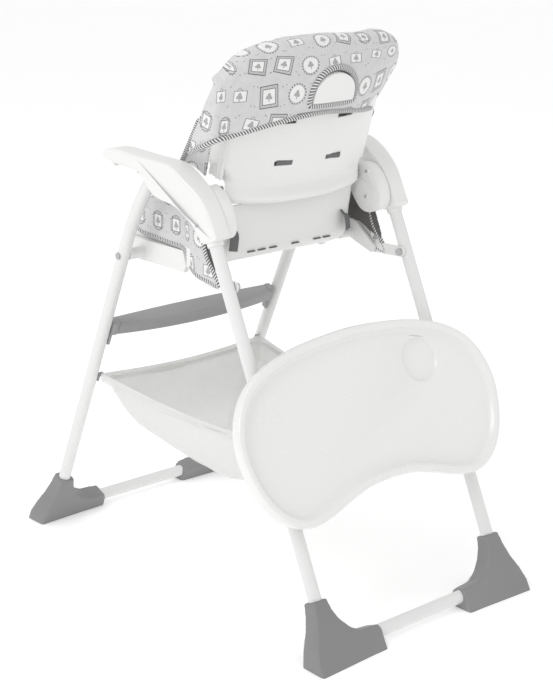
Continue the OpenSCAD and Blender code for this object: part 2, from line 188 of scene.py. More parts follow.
def make_print_group():
    """Hung pictures, one in each cell of a staggered grid: four kinds of frame round a plain leaf,
    tree or blot, with small dots between. Place is in millimetres on the cloth."""
    tree, start, end = group(
        "hung_pictures",
        [("Place", VECTOR), ("Cell", FLOAT)],
        [("Line", FLOAT), ("Tint", FLOAT), ("Paper", FLOAT)],
    )
    split = tree.nodes.new("ShaderNodeSeparateXYZ")
    join(tree, vector_calc(tree, "SCALE", start["Place"]), split.inputs[0])
    scale_node = split.inputs[0].links[0].from_node
    join(tree, calc(tree, "DIVIDE", 1.0, start["Cell"]), scale_node.inputs["Scale"])
    row = calc(tree, "FLOOR", split.outputs[1])
    shift = calc(tree, "MULTIPLY", row, 0.5)
    px = calc(tree, "ADD", split.outputs[0], shift)
    column = calc(tree, "FLOOR", px)
    cell = tree.nodes.new("ShaderNodeCombineXYZ")
    join(tree, column, cell.inputs[0])
    join(tree, row, cell.inputs[1])
    chance = tree.nodes.new("ShaderNodeTexWhiteNoise")
    chance.noise_dimensions = "3D"
    join(tree, cell.outputs[0], chance.inputs["Vector"])
    rolls = tree.nodes.new("ShaderNodeSeparateColor")
    join(tree, chance.outputs["Color"], rolls.inputs[0])
    roll_a, roll_b, roll_c = rolls.outputs[0], rolls.outputs[1], rolls.outputs[2]

    def local(value, whole, nudge):
        part = calc(tree, "SUBTRACT", calc(tree, "SUBTRACT", value, whole), 0.5)
        part = calc(tree, "ADD", part, calc(tree, "MULTIPLY_ADD", nudge, 0.12, -0.06))
        return calc(tree, "MULTIPLY", part, 50.0)

    lx = local(px, column, roll_a)
    ly = local(split.outputs[1], row, roll_c)
    angle = calc(tree, "MULTIPLY_ADD", roll_c, 0.5, -0.25)
    cosine, sine = calc(tree, "COSINE", angle), calc(tree, "SINE", angle)
    x = calc(tree, "SUBTRACT", calc(tree, "MULTIPLY", lx, cosine), calc(tree, "MULTIPLY", ly, sine))
    y = calc(tree, "ADD", calc(tree, "MULTIPLY", lx, sine), calc(tree, "MULTIPLY", ly, cosine))
    ax, ay = calc(tree, "ABSOLUTE", x), calc(tree, "ABSOLUTE", y)
    box = calc(tree, "MAXIMUM", ax, calc(tree, "MULTIPLY", ay, 0.86))
    low_box = calc(tree, "MAXIMUM", calc(tree, "MULTIPLY", ax, 1.05), calc(tree, "MULTIPLY", ay, 1.45))
    bearing = calc(tree, "ARCTAN2", y, x)
    radius = calc(
        tree, "SQRT",
        calc(tree, "ADD", calc(tree, "MULTIPLY", x, x), calc(tree, "MULTIPLY", y, y)),
    )
    wave = calc(tree, "SINE", calc(tree, "MULTIPLY", bearing, 16.0))
    dash = calc(tree, "GREATER_THAN", calc(tree, "SINE", calc(tree, "MULTIPLY", bearing, 20.0)), -0.1)
    scallop = calc(tree, "ADD", calc(tree, "MAXIMUM", box, calc(tree, "MULTIPLY", radius, 0.86)),
                   calc(tree, "MULTIPLY", wave, 0.9))
    lobes = calc(tree, "MULTIPLY_ADD", calc(tree, "COSINE", calc(tree, "MULTIPLY_ADD", bearing, 3.0, 1.2)),
                 1.3, 5.0)
    leaf = inside(tree, calc(tree, "SUBTRACT", radius, lobes), 0.0)
    trunk = calc(tree, "MULTIPLY", inside(tree, ax, 0.9),
                 calc(tree, "MULTIPLY", calc(tree, "LESS_THAN", y, 0.0), inside(tree, ay, 8.5)))
    hatch = calc(tree, "GREATER_THAN",
                 calc(tree, "SINE", calc(tree, "MULTIPLY", calc(tree, "ADD", x, y), 1.5)), 0.3)

    band = calc(tree, "SUBTRACT", inside(tree, box, 15.5), inside(tree, box, 11.0), clamp=True)
    square_line = calc(tree, "MAXIMUM", outline(tree, box, 15.5, 0.9), outline(tree, box, 11.0, 0.7))
    square_line = calc(tree, "MAXIMUM", square_line, calc(tree, "MULTIPLY", band, calc(tree, "MULTIPLY", hatch, 0.6)))
    scallop_line = calc(tree, "MAXIMUM", outline(tree, scallop, 13.5, 1.0), outline(tree, box, 9.5, 0.8))
    round_line = calc(tree, "MULTIPLY", outline(tree, radius, 16.5, 1.8), dash)
    round_line = calc(tree, "MAXIMUM", round_line, calc(tree, "MULTIPLY", outline(tree, radius, 14.6, 0.5), 0.5))
    plain_line = outline(tree, low_box, 13.0, 0.9)
    string = calc(tree, "MULTIPLY", outline(tree, calc(tree, "ADD", ax, y), 14.0, 0.6),
                  calc(tree, "GREATER_THAN", y, 9.0))
    plain_line = calc(tree, "MAXIMUM", plain_line, string)

    first = calc(tree, "LESS_THAN", roll_b, 0.27)
    second = calc(tree, "SUBTRACT", calc(tree, "LESS_THAN", roll_b, 0.5), first)
    third = calc(tree, "SUBTRACT", calc(tree, "LESS_THAN", roll_b, 0.76), calc(tree, "ADD", first, second))
    fourth = calc(tree, "GREATER_THAN", roll_b, 0.76)

    def choose(a, b, c, d):
        total = calc(tree, "MULTIPLY", first, a)
        for chosen, value in ((second, b), (third, c), (fourth, d)):
            total = calc(tree, "MULTIPLY_ADD", chosen, value, total)
        return total

    line = choose(square_line, scallop_line, round_line, plain_line)
    paper = choose(inside(tree, box, 11.0), inside(tree, box, 9.5), inside(tree, radius, 14.6),
                   inside(tree, low_box, 13.0))
    spot_x = calc(tree, "SUBTRACT", calc(tree, "ABSOLUTE", lx), 22.5)
    spot_y = calc(tree, "SUBTRACT", calc(tree, "ABSOLUTE", ly), 16.0)
    spot = calc(tree, "SQRT", calc(tree, "ADD", calc(tree, "MULTIPLY", spot_x, spot_x),
                                   calc(tree, "MULTIPLY", spot_y, spot_y)))
    dots = calc(tree, "MULTIPLY", inside(tree, spot, 1.3), 0.55)
    join(tree, calc(tree, "MAXIMUM", line, dots), end["Line"])
    join(tree, calc(tree, "MAXIMUM", leaf, trunk), end["Tint"])
    join(tree, paper, end["Paper"])
    return tree


MOULD = make_mould_group()
WEAVE = make_weave_group()
PRINT = make_print_group()


def start_material(name):
    material = bpy.data.materials.new(name)
    material.use_nodes = True
    tree = material.node_tree
    shader = tree.nodes["Principled BSDF"]
    return material, tree, shader


def object_place(tree):
    return tree.nodes.new("ShaderNodeTexCoord").outputs["Object"]


def cloth_place(tree):
    """The piece's own flat cloth position, in millimetres."""
    node = tree.nodes.new("ShaderNodeAttribute")
    node.attribute_name = "cloth"
    return node.outputs["Vector"]


def add_bump(tree, shader, height, strength, distance):
    bump = tree.nodes.new("ShaderNodeBump")
    bump.inputs["Strength"].default_value = strength
    bump.inputs["Distance"].default_value = distance
    join(tree, height, bump.inputs["Height"])
    join(tree, bump.outputs[0], shader.inputs["Normal"])


def moulded(name, colour, shade, rough, grain=0.5, coat=0.0):
    """Injection-moulded plastic or powder coat: near-even colour with broad tone drift."""
    material, tree, shader = start_material(name)
    surface = use(tree, MOULD, Place=object_place(tree), Grain=grain)
    join(tree, blend_colour(tree, surface["Tone"], (*colour, 1), (*shade, 1)), shader.inputs["Base Color"])
    join(tree, ramp(tree, surface["Rough"], 0.0, 1.0, rough - 0.02, rough + 0.03), shader.inputs["Roughness"])
    shader.inputs["Coat Weight"].default_value = coat
    shader.inputs["Coat Roughness"].default_value = 0.2
    add_bump(tree, shader, surface["Height"], 0.012, 0.0001)
    return material


def metal(name, colour, rough):
    material, tree, shader = start_material(name)
    surface = use(tree, MOULD, Place=object_place(tree), Grain=1.0)
    darker = tuple(c * 0.8 for c in colour)
    join(tree, blend_colour(tree, surface["Tone"], (*colour, 1), (*darker, 1)), shader.inputs["Base Color"])
    join(tree, ramp(tree, surface["Rough"], 0.0, 1.0, rough, rough + 0.15), shader.inputs["Roughness"])
    shader.inputs["Metallic"].default_value = 1.0
    add_bump(tree, shader, surface["Height"], 0.2, 0.0003)
    return material


def printed_cloth(name, ground, paper, tint, line, thread=0.9):
    material, tree, shader = start_material(name)
    place = cloth_place(tree)
    weave = use(tree, WEAVE, Place=place, Thread=thread)
    pictures = use(tree, PRINT, Place=place, Cell=50.0)
    colour = blend_colour(tree, pictures["Paper"], (*ground, 1), (*paper, 1))
    colour = blend_colour(tree, calc(tree, "MULTIPLY", pictures["Tint"], 0.8), colour, (*tint, 1))
    colour = blend_colour(tree, calc(tree, "MULTIPLY", pictures["Line"], 0.9), colour, (*line, 1))
    shade = ramp(tree, weave["Tone"], 0.0, 1.0, 0.9, 1.05)
    toned = vector_calc(tree, "SCALE", colour)
    join(tree, shade, toned.node.inputs["Scale"])
    join(tree, toned, shader.inputs["Base Color"])
    join(tree, ramp(tree, weave["Tone"], 0.0, 1.0, 0.78, 0.9), shader.inputs["Roughness"])
    shader.inputs["Sheen Weight"].default_value = 0.25
    shader.inputs["Sheen Roughness"].default_value = 0.5
    add_bump(tree, shader, weave["Height"], 0.35, 0.0003)
    return material


def plain_cloth(name, colour, shade, thread=1.1, strength=0.45, sheen=0.25):
    material, tree, shader = start_material(name)
    place = vector_calc(tree, "SCALE", object_place(tree))
    place.node.inputs["Scale"].default_value = 1000.0
    turned = tree.nodes.new("ShaderNodeMapping")
    turned.inputs["Rotation"].default_value = (1.1, 0.2, 0.1)
    join(tree, place, turned.inputs["Vector"])
    weave = use(tree, WEAVE, Place=turned.outputs[0], Thread=thread)
    join(tree, blend_colour(tree, weave["Tone"], (*shade, 1), (*colour, 1)), shader.inputs["Base Color"])
    join(tree, ramp(tree, weave["Tone"], 0.0, 1.0, 0.8, 0.92), shader.inputs["Roughness"])
    shader.inputs["Sheen Weight"].default_value = sheen
    add_bump(tree, shader, weave["Height"], strength, 0.0004)
    return material


def striped_binding(name, light, dark):
    """Bias binding with slanting stripes: cloth x runs along it and y round it, in millimetres."""
    material, tree, shader = start_material(name)
    split = tree.nodes.new("ShaderNodeSeparateXYZ")
    place = cloth_place(tree)
    join(tree, place, split.inputs[0])
    slant = calc(tree, "ADD", split.outputs[0], calc(tree, "MULTIPLY", split.outputs[1], 0.3))
    stripe = calc(tree, "SINE", calc(tree, "MULTIPLY", slant, 2 * math.pi / 4.8))
    mask = ramp(tree, stripe, -0.35, 0.35)
    weave = use(tree, WEAVE, Place=place, Thread=0.7)
    join(tree, blend_colour(tree, mask, (*light, 1), (*dark, 1)), shader.inputs["Base Color"])
    join(tree, ramp(tree, weave["Tone"], 0.0, 1.0, 0.8, 0.92), shader.inputs["Roughness"])
    shader.inputs["Sheen Weight"].default_value = 0.2
    add_bump(tree, shader, weave["Height"], 0.4, 0.0003)
    return material


def webbing(name, colour, shade):
    """Narrow woven strap: ribs across the strap, from the cloth position."""
    material, tree, shader = start_material(name)
    split = tree.nodes.new("ShaderNodeSeparateXYZ")
    place = cloth_place(tree)
    join(tree, place, split.inputs[0])
    rib = calc(tree, "SINE", calc(tree, "MULTIPLY", split.outputs[0], 2 * math.pi / 1.6))
    cord = calc(tree, "SINE", calc(tree, "MULTIPLY", split.outputs[1], 2 * math.pi / 2.4))
    height = calc(tree, "MULTIPLY_ADD", cord, 0.5, rib)
    tone = ramp(tree, height, -1.5, 1.5)
    join(tree, blend_colour(tree, tone, (*shade, 1), (*colour, 1)), shader.inputs["Base Color"])
    join(tree, ramp(tree, tone, 0.0, 1.0, 0.7, 0.85), shader.inputs["Roughness"])
    add_bump(tree, shader, height, 0.5, 0.0004)
    return material


WHITE_SHELL = moulded("white_moulding", (0.84, 0.84, 0.83), (0.82, 0.82, 0.81), 0.36, 0.5, 0.1)
WHITE_TRAY = moulded("white_tray_gloss", (0.85, 0.85, 0.835), (0.84, 0.84, 0.825), 0.26, 0.2, 0.25)
WHITE_TUBE = moulded("white_powder_coat", (0.80, 0.80, 0.795), (0.78, 0.78, 0.775), 0.3, 0.6, 0.1)
BOOT_GREY = moulded("grey_foot_moulding", (0.27, 0.27, 0.275), (0.23, 0.23, 0.235), 0.5, 1.0)
BAR_GREY = moulded("grey_bar_moulding", (0.36, 0.36, 0.365), (0.32, 0.32, 0.325), 0.48, 1.0)
SMALL_GREY = moulded("grey_small_moulding", (0.24, 0.24, 0.245), (0.2, 0.2, 0.2), 0.45, 0.8)
PRINT_CLOTH = printed_cloth("printed_cloth", (0.66, 0.66, 0.665), (0.86, 0.86, 0.85),
                            (0.30, 0.30, 0.31), (0.10, 0.10, 0.105))
# Dark cloth used as painted shade: the sheet just inside each wing and the blocks in the seat's vent openings.
PAINTED_SHADE_CLOTH = plain_cloth("painted_shade_cloth", (0.14, 0.13, 0.125), (0.10, 0.095, 0.09), 1.0)
PAD_CLOTH = plain_cloth("pale_pad_cloth", (0.66, 0.66, 0.67), (0.58, 0.58, 0.59), 1.0)
SLING = plain_cloth("sling_cloth", (0.90, 0.90, 0.885), (0.86, 0.86, 0.845), 1.2, 0.5)
SLING.node_tree.nodes["Principled BSDF"].inputs["Alpha"].default_value = 0.66
BINDING = striped_binding("striped_binding", (0.78, 0.78, 0.78), (0.09, 0.09, 0.095))
WEBBING = webbing("grey_webbing", (0.20, 0.20, 0.205), (0.12, 0.12, 0.125))
STEEL = metal("plated_steel", (0.55, 0.55, 0.56), 0.3)


# ---------------------------------------------------------------------------------------------
# Mesh helpers: every shape is drawn in millimetres in its own plane, then put in its place
# ---------------------------------------------------------------------------------------------
def finish_piece(name, bm, place, material, body, replaces=(), crease=35, normals=True):
    bmesh.ops.remove_doubles(bm, verts=bm.verts, dist=0.005)
    if normals:
        bmesh.ops.recalc_face_normals(bm, faces=bm.faces)
    bmesh.ops.transform(bm, matrix=Matrix.Scale(MM, 4) @ place, verts=bm.verts)
    mesh = bpy.data.meshes.new(name)
    bm.to_mesh(mesh)
    bm.free()
    mesh.shade_smooth()
    mesh.set_sharp_from_angle(angle=math.radians(crease))
    piece = bpy.data.objects.new(name, mesh)
    bpy.context.scene.collection.objects.link(piece)
    mesh.materials.append(material)
    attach(piece, body)
    if replaces:
        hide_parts(*replaces)
    return piece


def settle(piece):
    """Applies the piece's modifiers to its mesh."""
    bpy.context.view_layer.update()
    made = bpy.data.meshes.new_from_object(piece.evaluated_get(bpy.context.evaluated_depsgraph_get()))
    old = piece.data
    piece.modifiers.clear()
    piece.data = made
    made.name = piece.name
    bpy.data.meshes.remove(old)


def smooth_loop(points, steps):
    """A closed Catmull-Rom curve through the points."""
    made = []
    count = len(points)
    for i in range(count):
        a, b, c, d = (Vector(points[(i + k - 1) % count]) for k in range(4))
        for k in range(steps):
            t = k / steps
            made.append(0.5 * (2 * b + (c - a) * t + (2 * a - 5 * b + 4 * c - d) * t ** 2
                               + (3 * b - a - 3 * c + d) * t ** 3))
    return made


def smooth_path(points, steps):
    """An open Catmull-Rom curve through the points."""
    ends = [2 * Vector(points[0]) - Vector(points[1]), *map(Vector, points),
            2 * Vector(points[-1]) - Vector(points[-2])]
    made = []
    for i in range(1, len(ends) - 2):
        a, b, c, d = ends[i - 1:i + 3]
        for k in range(steps):
            t = k / steps
            made.append(0.5 * (2 * b + (c - a) * t + (2 * a - 5 * b + 4 * c - d) * t ** 2
                               + (3 * b - a - 3 * c + d) * t ** 3))
    made.append(ends[-2])
    return made


def prism(bm, points, low, high, corner, round_edges=0.0, segments=4):
    """Draws an outline with corner(a, b, height) at one height and extrudes it to another."""
    verts = [bm.verts.new(corner(a, b, low)) for a, b in points]
    face = bm.faces.new(verts)
    made = bmesh.ops.extrude_face_region(bm, geom=[face])
    top = [g for g in made["geom"] if isinstance(g, bmesh.types.BMVert)]
    rise = Vector(corner(0, 0, high)) - Vector(corner(0, 0, low))
    bmesh.ops.translate(bm, vec=rise, verts=top)
    if round_edges:
        rim = [e for e in bm.edges if len(e.link_faces) == 2
               and ((e.verts[0] in top) == (e.verts[1] in top))
               and any(len(f.verts) == len(points) for f in e.link_faces)]
        bmesh.ops.bevel(bm, geom=rim, offset=round_edges, offset_type="OFFSET", segments=segments,
                        profile=0.5, affect="EDGES", material=-1, clamp_overlap=True)
    return verts, top


def from_side(a, b, height):
    """An outline in (Y, Z), extruded along X."""
    return (height, a, b)


def from_behind(a, b, height):
    """An outline in (X, up the leg or back), extruded out of that plane."""
    return (a, height, b)


def rod(bm, place, radius, length, round_end=0.0, sides=32):
    """A round bar along the place's Z axis, from its origin."""
    made = bmesh.ops.create_cone(bm, cap_ends=True, segments=sides, radius1=radius, radius2=radius,
                                 depth=length, matrix=place @ Matrix.Translation((0, 0, length / 2)))
    if round_end:
        tops = {v for v in made["verts"]}
        rim = [e for e in bm.edges if set(e.verts) <= tops
               and any(len(f.verts) == sides for f in e.link_faces)]
        bmesh.ops.bevel(bm, geom=rim, offset=round_end, offset_type="OFFSET", segments=3, profile=0.5,
                        affect="EDGES", material=-1, clamp_overlap=True)
    return made["verts"]


def block(bm, low, high, round_edges=0.0, segments=3):
    size = Vector(high) - Vector(low)
    middle = (Vector(high) + Vector(low)) / 2
    made = bmesh.ops.create_cube(bm, size=1.0, matrix=Matrix.Translation(middle) @ Matrix.Diagonal((*size, 1)))
    if round_edges:
        bmesh.ops.bevel(bm, geom=list({e for v in made["verts"] for e in v.link_edges}), offset=round_edges,
                        offset_type="OFFSET", segments=segments, profile=0.5, affect="EDGES", material=-1,
                        clamp_overlap=True)
    return made["verts"]


def turn_to_x(x, y, z, side=1):
    """A place whose Z axis points outward along X on the given side."""
    return Matrix.Translation((side * x, y, z)) @ Matrix.Rotation(side * math.pi / 2, 4, "Y")


def sweep(name, path, half_wide, half_thick, facing, place, material, body, replaces=(),
          closed=False, sides=12, twist=None):
    """A strip or roll of oval section along a path, with its cloth position stored: x along, y round.
    facing is the direction that the strip's flat side looks to, or a function of the point's number."""
    bm = bmesh.new()
    flat = bm.verts.layers.float_vector.new("cloth")
    count = len(path)
    lengths = [0.0]
    for i in range(1, count):
        lengths.append(lengths[-1] + (path[i] - path[i - 1]).length)
    ring = None
    first = None
    for i, point in enumerate(path):
        before = path[i - 1] if (i > 0 or closed) else point
        after = path[(i + 1) % count] if (i < count - 1 or closed) else point
        along = (after - before).normalized()
        up = Vector(facing(i) if callable(facing) else facing)
        across = along.cross(up).normalized()
        up = across.cross(along).normalized()
        new_ring = []
        for k in range(sides):
            angle = 2 * math.pi * k / sides
            offset = across * (half_wide * math.cos(angle)) + up * (half_thick * math.sin(angle))
            vert = bm.verts.new(point + offset)
            vert[flat] = (lengths[i], (half_wide + half_thick) * angle / 2 * 1.3, 0.0)
            new_ring.append(vert)
        edges = [bm.edges.new((new_ring[k], new_ring[(k + 1) % sides])) for k in range(sides)]
        if ring:
            bmesh.ops.bridge_loops(bm, edges=ring + edges)
        first = first or edges
        ring = edges
    if closed:
        bmesh.ops.bridge_loops(bm, edges=ring + first)
    else:
        bmesh.ops.holes_fill(bm, edges=first + ring, sides=sides)
    return finish_piece(name, bm, place, material, body, replaces, 60)


def soften(piece, times, factor=0.5):
    """Relaxes the mesh, so that its edges round over like stuffed cloth."""
    bm = bmesh.new()
    bm.from_mesh(piece.data)
    for _ in range(times):
        bmesh.ops.smooth_vert(bm, verts=bm.verts, factor=factor, use_axis_x=True, use_axis_y=True,
                              use_axis_z=True)
    bm.to_mesh(piece.data)
    bm.free()
    piece.data.shade_smooth()


def remesh(piece, voxel):
    fill = piece.modifiers.new("remesh", "REMESH")
    fill.mode = "VOXEL"
    fill.voxel_size = voxel * MM
    settle(piece)


def store_cloth(piece, flat_of):
    """Writes each vertex's position on the flat cloth, in millimetres, from its place in the chair."""
    attribute = piece.data.attributes.get("cloth") or piece.data.attributes.new(
        "cloth", "FLOAT_VECTOR", "POINT")
    for vert, slot_value in zip(piece.data.vertices, attribute.data):
        slot_value.vector = flat_of(vert.co / MM)


def inflate(piece, pressure, cap, frames=20):
    """Puffs a padded piece up with a cloth simulation, moving no point further than the cap."""
    before = [v.co.copy() for v in piece.data.vertices]
    cloth = piece.modifiers.new("cloth", "CLOTH")
    cloth.settings.use_pressure = True
    cloth.settings.uniform_pressure_force = pressure
    cloth.settings.effector_weights.gravity = 0.0
    cloth.settings.quality = 5
    cloth.settings.tension_stiffness = 15
    cloth.settings.compression_stiffness = 15
    cloth.settings.bending_stiffness = 0.5
    cloth.point_cache.frame_start = 1
    cloth.point_cache.frame_end = frames
    for frame_number in range(1, frames + 1):
        bpy.context.scene.frame_set(frame_number)
    settle(piece)
    bpy.context.scene.frame_set(1)
    for vert, start in zip(piece.data.vertices, before):
        move = vert.co - start
        if move.length > cap * MM:
            vert.co = start + move.normalized() * cap * MM


def wrinkle(piece, size, depth, seed, along=None):
    """Pushes points in and out along their normals by smooth noise, for soft creases."""
    offset = Vector((seed, seed * 2.3, seed * 0.7))
    moves = [(v, v.normal.copy()) for v in piece.data.vertices]
    for vert, normal in moves:
        place = vert.co / (size * MM)
        if along:
            place = Vector((place.x * along[0], place.y * along[1], place.z * along[2]))
        vert.co += normal * noise.noise(place + offset) * depth * MM


# ---------------------------------------------------------------------------------------------
# Feet
# ---------------------------------------------------------------------------------------------
def foot(name, side, place, body):
    """A boot over the outer half of the tube's bend: flat sole, round toe and a tall cuff."""
    sole = -30.0
    cuff = 104.0
    shape = [
        (214, cuff), (217, 84), (224, 60), (236, 34), (243, 10), (244, sole), (150, sole), (97, sole),
        (96, 26), (100, 35), (112, 36), (140, 38), (158, 48), (174, 66), (184, 86), (186, cuff)
    ]
    bm = bmesh.new()
    points = [(side * x, s) for x, s in shape]
    prism(bm, points, -24, 24, from_behind)
    bmesh.ops.subdivide_edges(bm, edges=[e for e in bm.edges if abs(e.verts[0].co.y - e.verts[1].co.y) > 1],
                              cuts=3)
    sole_cut = math.tan(LEG_LEAN)
    for vert in bm.verts:
        rise = max(0.0, min(1.0, vert.co.z / cuff))
        inner = max(0.0, min(1.0, (190 - abs(vert.co.x)) / 95))
        half = 25.0 - 10.5 * rise ** 0.7 - 7.0 * inner * (1 - rise)
        vert.co.y *= half / 24.0
    piece = finish_piece(name, bm, place, BOOT_GREY, body, (name.replace("boot", "foot"),))
    remesh(piece, 2.2)
    soften(piece, 7)
    bm = bmesh.new()
    bm.from_mesh(piece.data)
    bmesh.ops.bisect_plane(bm, geom=[*bm.verts, *bm.edges, *bm.faces], plane_co=(0, 0, 0.0004),
                           plane_no=(0, 0, -1), clear_outer=True)
    bmesh.ops.holes_fill(bm, edges=[e for e in bm.edges if e.is_boundary])
    bm.to_mesh(piece.data)
    bm.free()
    piece.data.shade_smooth()
    piece.data.set_sharp_from_angle(angle=math.radians(50))
    return piece


def front_tube():
    """The front frame's tube: a flat U on the floor whose ends lean back under the arms."""
    half = [(LEG_X - BEND_R + BEND_R * math.cos(a), FLOOR_S + BEND_R - BEND_R * math.sin(a))
            for a in (math.radians(k * 7.5) for k in range(13))]
    rises = [800 - 12 * k for k in range(15)] + [560, 470, 400, 300, 200]
    side = [Vector((LEG_X, 24 * max(0.0, (s - 650) / 150) ** 2, s)) for s in rises]
    side += [Vector((x, 0, s)) for x, s in half]
    mirrored = [Vector((-p.x, p.y, p.z)) for p in reversed(side)]
    sweep("front_tube", side + mirrored, TUBE_R, TUBE_R, (0, 1, 0), ON_FRONT, WHITE_TUBE, "front_frame",
          ("front_leg_tube",), sides=28)


def make_feet():
    for label, side in SIDES.items():
        foot(f"front_boot_{label}", side, ON_FRONT, "front_frame")
        foot(f"rear_boot_{label}", side, ON_REAR, "rear_frame")


# ---------------------------------------------------------------------------------------------
# Arms and hub housings
# ---------------------------------------------------------------------------------------------
ARM_SHAPE = [
    (-170, 736), (-156, 746), (-130, 750), (-92, 749), (-50, 747), (-10, 746), (24, 744), (48, 734),
    (73, 719), (96, 701), (113, 678), (126, 652), (130, 639), (101, 627), (90, 639), (75, 657),
    (54, 671), (31, 680), (4, 683), (-18, 688), (-36, 700), (-50, 712), (-62, 722), (-99, 724),
    (-142, 726), (-160, 729)
]
ARM_SLOT = [(-84, 742), (-10, 739), (24, 736), (46, 726), (72, 708), (72, 683), (66, 640), (-84, 640)]
HOUSE_SHAPE = [
    (33, 688), (43, 702), (58, 709), (80, 708), (99, 695), (113, 674), (119, 650), (113, 634), (100, 628),
    (84, 623), (66, 627), (50, 643), (37, 662), (31, 677)
]


def arm(label, side):
    bm = bmesh.new()
    prism(bm, smooth_loop(ARM_SHAPE, 3), 184, 225, from_side)
    for high, offset in ((225, 11.0), (184, 5.0)):
        rim = [e for e in bm.edges if all(abs(v.co.x - high) < 0.1 for v in e.verts)]
        bmesh.ops.bevel(bm, geom=rim, offset=offset, offset_type="OFFSET", segments=6, profile=0.5,
                        affect="EDGES", material=-1, clamp_overlap=True)
    for vert in bm.verts:
        forward = max(0.0, (-60 - vert.co.y) / 110)
        rearward = max(0.0, min(1.0, (vert.co.y - 60) / 55))
        vert.co.x -= (7 * forward ** 1.5 + 10 * rearward) * (vert.co.x - 184) / 41
    if side < 0:
        bmesh.ops.scale(bm, vec=(-1, 1, 1), verts=bm.verts)
    for step in range(6):
        y = -140 + step * 9
        block(bm, (side * 203 - 14, y, 720), (side * 203 + 14, y + 5, 728), 1.2)
    rod(bm, ON_REAR @ Matrix.Translation((side * LEG_X, 0, 684)), 13.6, 12, 1.5)
    piece = finish_piece(f"arm_shell_{label}", bm, HERE, WHITE_SHELL, "rear_frame",
                         (f"arm_{label}",), 40)
    slot = bmesh.new()
    low_x, high_x = sorted((side * 207.5, side * 218.5))
    prism(slot, ARM_SLOT, low_x, high_x, from_side)
    cut_hole(piece, slot, HERE)


def housing(label, side):
    bm = bmesh.new()
    prism(bm, smooth_loop(HOUSE_SHAPE, 4), 158.5, 184.5, from_side, 5.0, 4)
    if side < 0:
        bmesh.ops.scale(bm, vec=(-1, 1, 1), verts=bm.verts)
    rod(bm, turn_to_x(156.4, 84, 696, side), 6.0, 4, 1.2)
    rod(bm, turn_to_x(156.4, 83, 652, side), 5.6, 4, 1.2)
    finish_piece(f"hub_shell_{label}", bm, HERE, WHITE_SHELL, "rear_frame",
                 (f"hub_housing_{label}",), 40)
    for number, inset in enumerate((6, 11, 16)):
        arc = [(38 + inset, 684 - inset * 0.4), (50 + inset * 0.6, 696 - inset), (66, 699 - inset * 1.1),
               (82, 696 - inset * 1.2), (97 - inset * 0.5, 685 - inset), (108 - inset * 0.8, 670 - inset * 0.6)]
        rib = smooth_path([(side * 158.2, y, z) for y, z in arc], 6)
        sweep(f"hub_rib_{number + 1}_{label}", rib, 1.0, 0.9, (side, 0, 0), HERE, WHITE_SHELL, "rear_frame")
    bm = bmesh.new()
    rod(bm, turn_to_x(218.6, 88, 655, side), 2.8, 2.0, 0.5, 20)
    finish_piece(f"arm_screw_{label}", bm, HERE, STEEL, "rear_frame")


def housing_screws():
    bm = bmesh.new()
    for side in SIDES.values():
        for y, z in ((84, 696), (83, 652)):
            rod(bm, turn_to_x(155.6, y, z, side), 3.2, 2.4, 0.6, 20)
    finish_piece("hub_screw_heads", bm, HERE, STEEL, "rear_frame", ("housing_screws",))
    for label, side in SIDES.items():
        bm = bmesh.new()
        rod(bm, turn_to_x(151.0, HUB_Y, HUB_Z, side), 9.0, 5.2, 1.0)
        finish_piece(f"hub_boss_{label}", bm, HERE, WHITE_SHELL, "front_frame")


def make_arms():
    housing_screws()
    for label, side in SIDES.items():
        arm(label, side)
        housing(label, side)


# ---------------------------------------------------------------------------------------------
# Seat bucket and back shell
# ---------------------------------------------------------------------------------------------
def seat_bucket():
    bm = bmesh.new()
    block(bm, (-150, -190, 551), (150, 64, 672))
    long_edges = [e for e in bm.edges if abs(e.verts[0].co.y - e.verts[1].co.y) > 100]
    bmesh.ops.subdivide_edges(bm, edges=long_edges, cuts=11)
    for vert in bm.verts:
        back = max(0.0, min(1.0, (vert.co.y + 45) / 105))
        if vert.co.z < 560:
            vert.co.z += 28 * back ** 1.5
            vert.co.x *= 0.97
            vert.co.y -= 10 * back ** 3
        else:
            vert.co.z = 594 + 44 * max(0.0, min(1.0, (vert.co.y + 60) / 100))
            if vert.co.y > 50:
                vert.co.z = 670.5
    bmesh.ops.delete(bm, geom=[f for f in bm.faces if f.normal.z > 0.3 and f.calc_center_median().z > 580],
                     context="FACES")
    bmesh.ops.bevel(bm, geom=[e for e in bm.edges if len(e.link_faces) == 2
                              and e.calc_face_angle(0) > math.radians(50)],
                    offset=22, offset_type="OFFSET", segments=7, profile=0.5, affect="EDGES", material=-1,
                    clamp_overlap=True)
    bmesh.ops.recalc_face_normals(bm, faces=bm.faces)
    bmesh.ops.solidify(bm, geom=bm.faces[:], thickness=2.6)
    for side in SIDES.values():
        turn = [(HUB_Y + 10 * math.cos(math.radians(a)), HUB_Z - 4 + 10 * math.sin(math.radians(a)))
                for a in range(0, 181, 20)]
        low_x, high_x = (147, 151) if side > 0 else (-151, -147)
        prism(bm, [(-10, 618), (40, 618), (50, 660), *turn, (30, 670)], low_x, high_x, from_side)
    finish_piece("seat_bucket", bm, HERE, WHITE_SHELL, "front_frame", ("seat_shell",), 38)
    # Dark blocks set in the seat's vent openings: painted shade inside the vents.
    bm = bmesh.new()
    for x in (-92, -70, -20, 30, 55, 78):
        block(bm, (x - 8, 50, 584.5), (x + 8, 56.4, 586.4), 0.4)
    finish_piece("seat_vent_shade", bm, HERE, PAINTED_SHADE_CLOTH, "front_frame")


def back_shell_depth(x, t):
    """How far the back shell stands behind its own plane: crowned, with a rolled belly at its foot."""
    across = min(1.0, abs(x) / 164)
    belly = math.exp(-((t - 37) / 12) ** 2)
    crease = math.exp(-((t - 59) / 6) ** 2)
    return 15 - 30 * across ** 2.4 + (12 * belly - 2 * crease) * (1 - across ** 4)


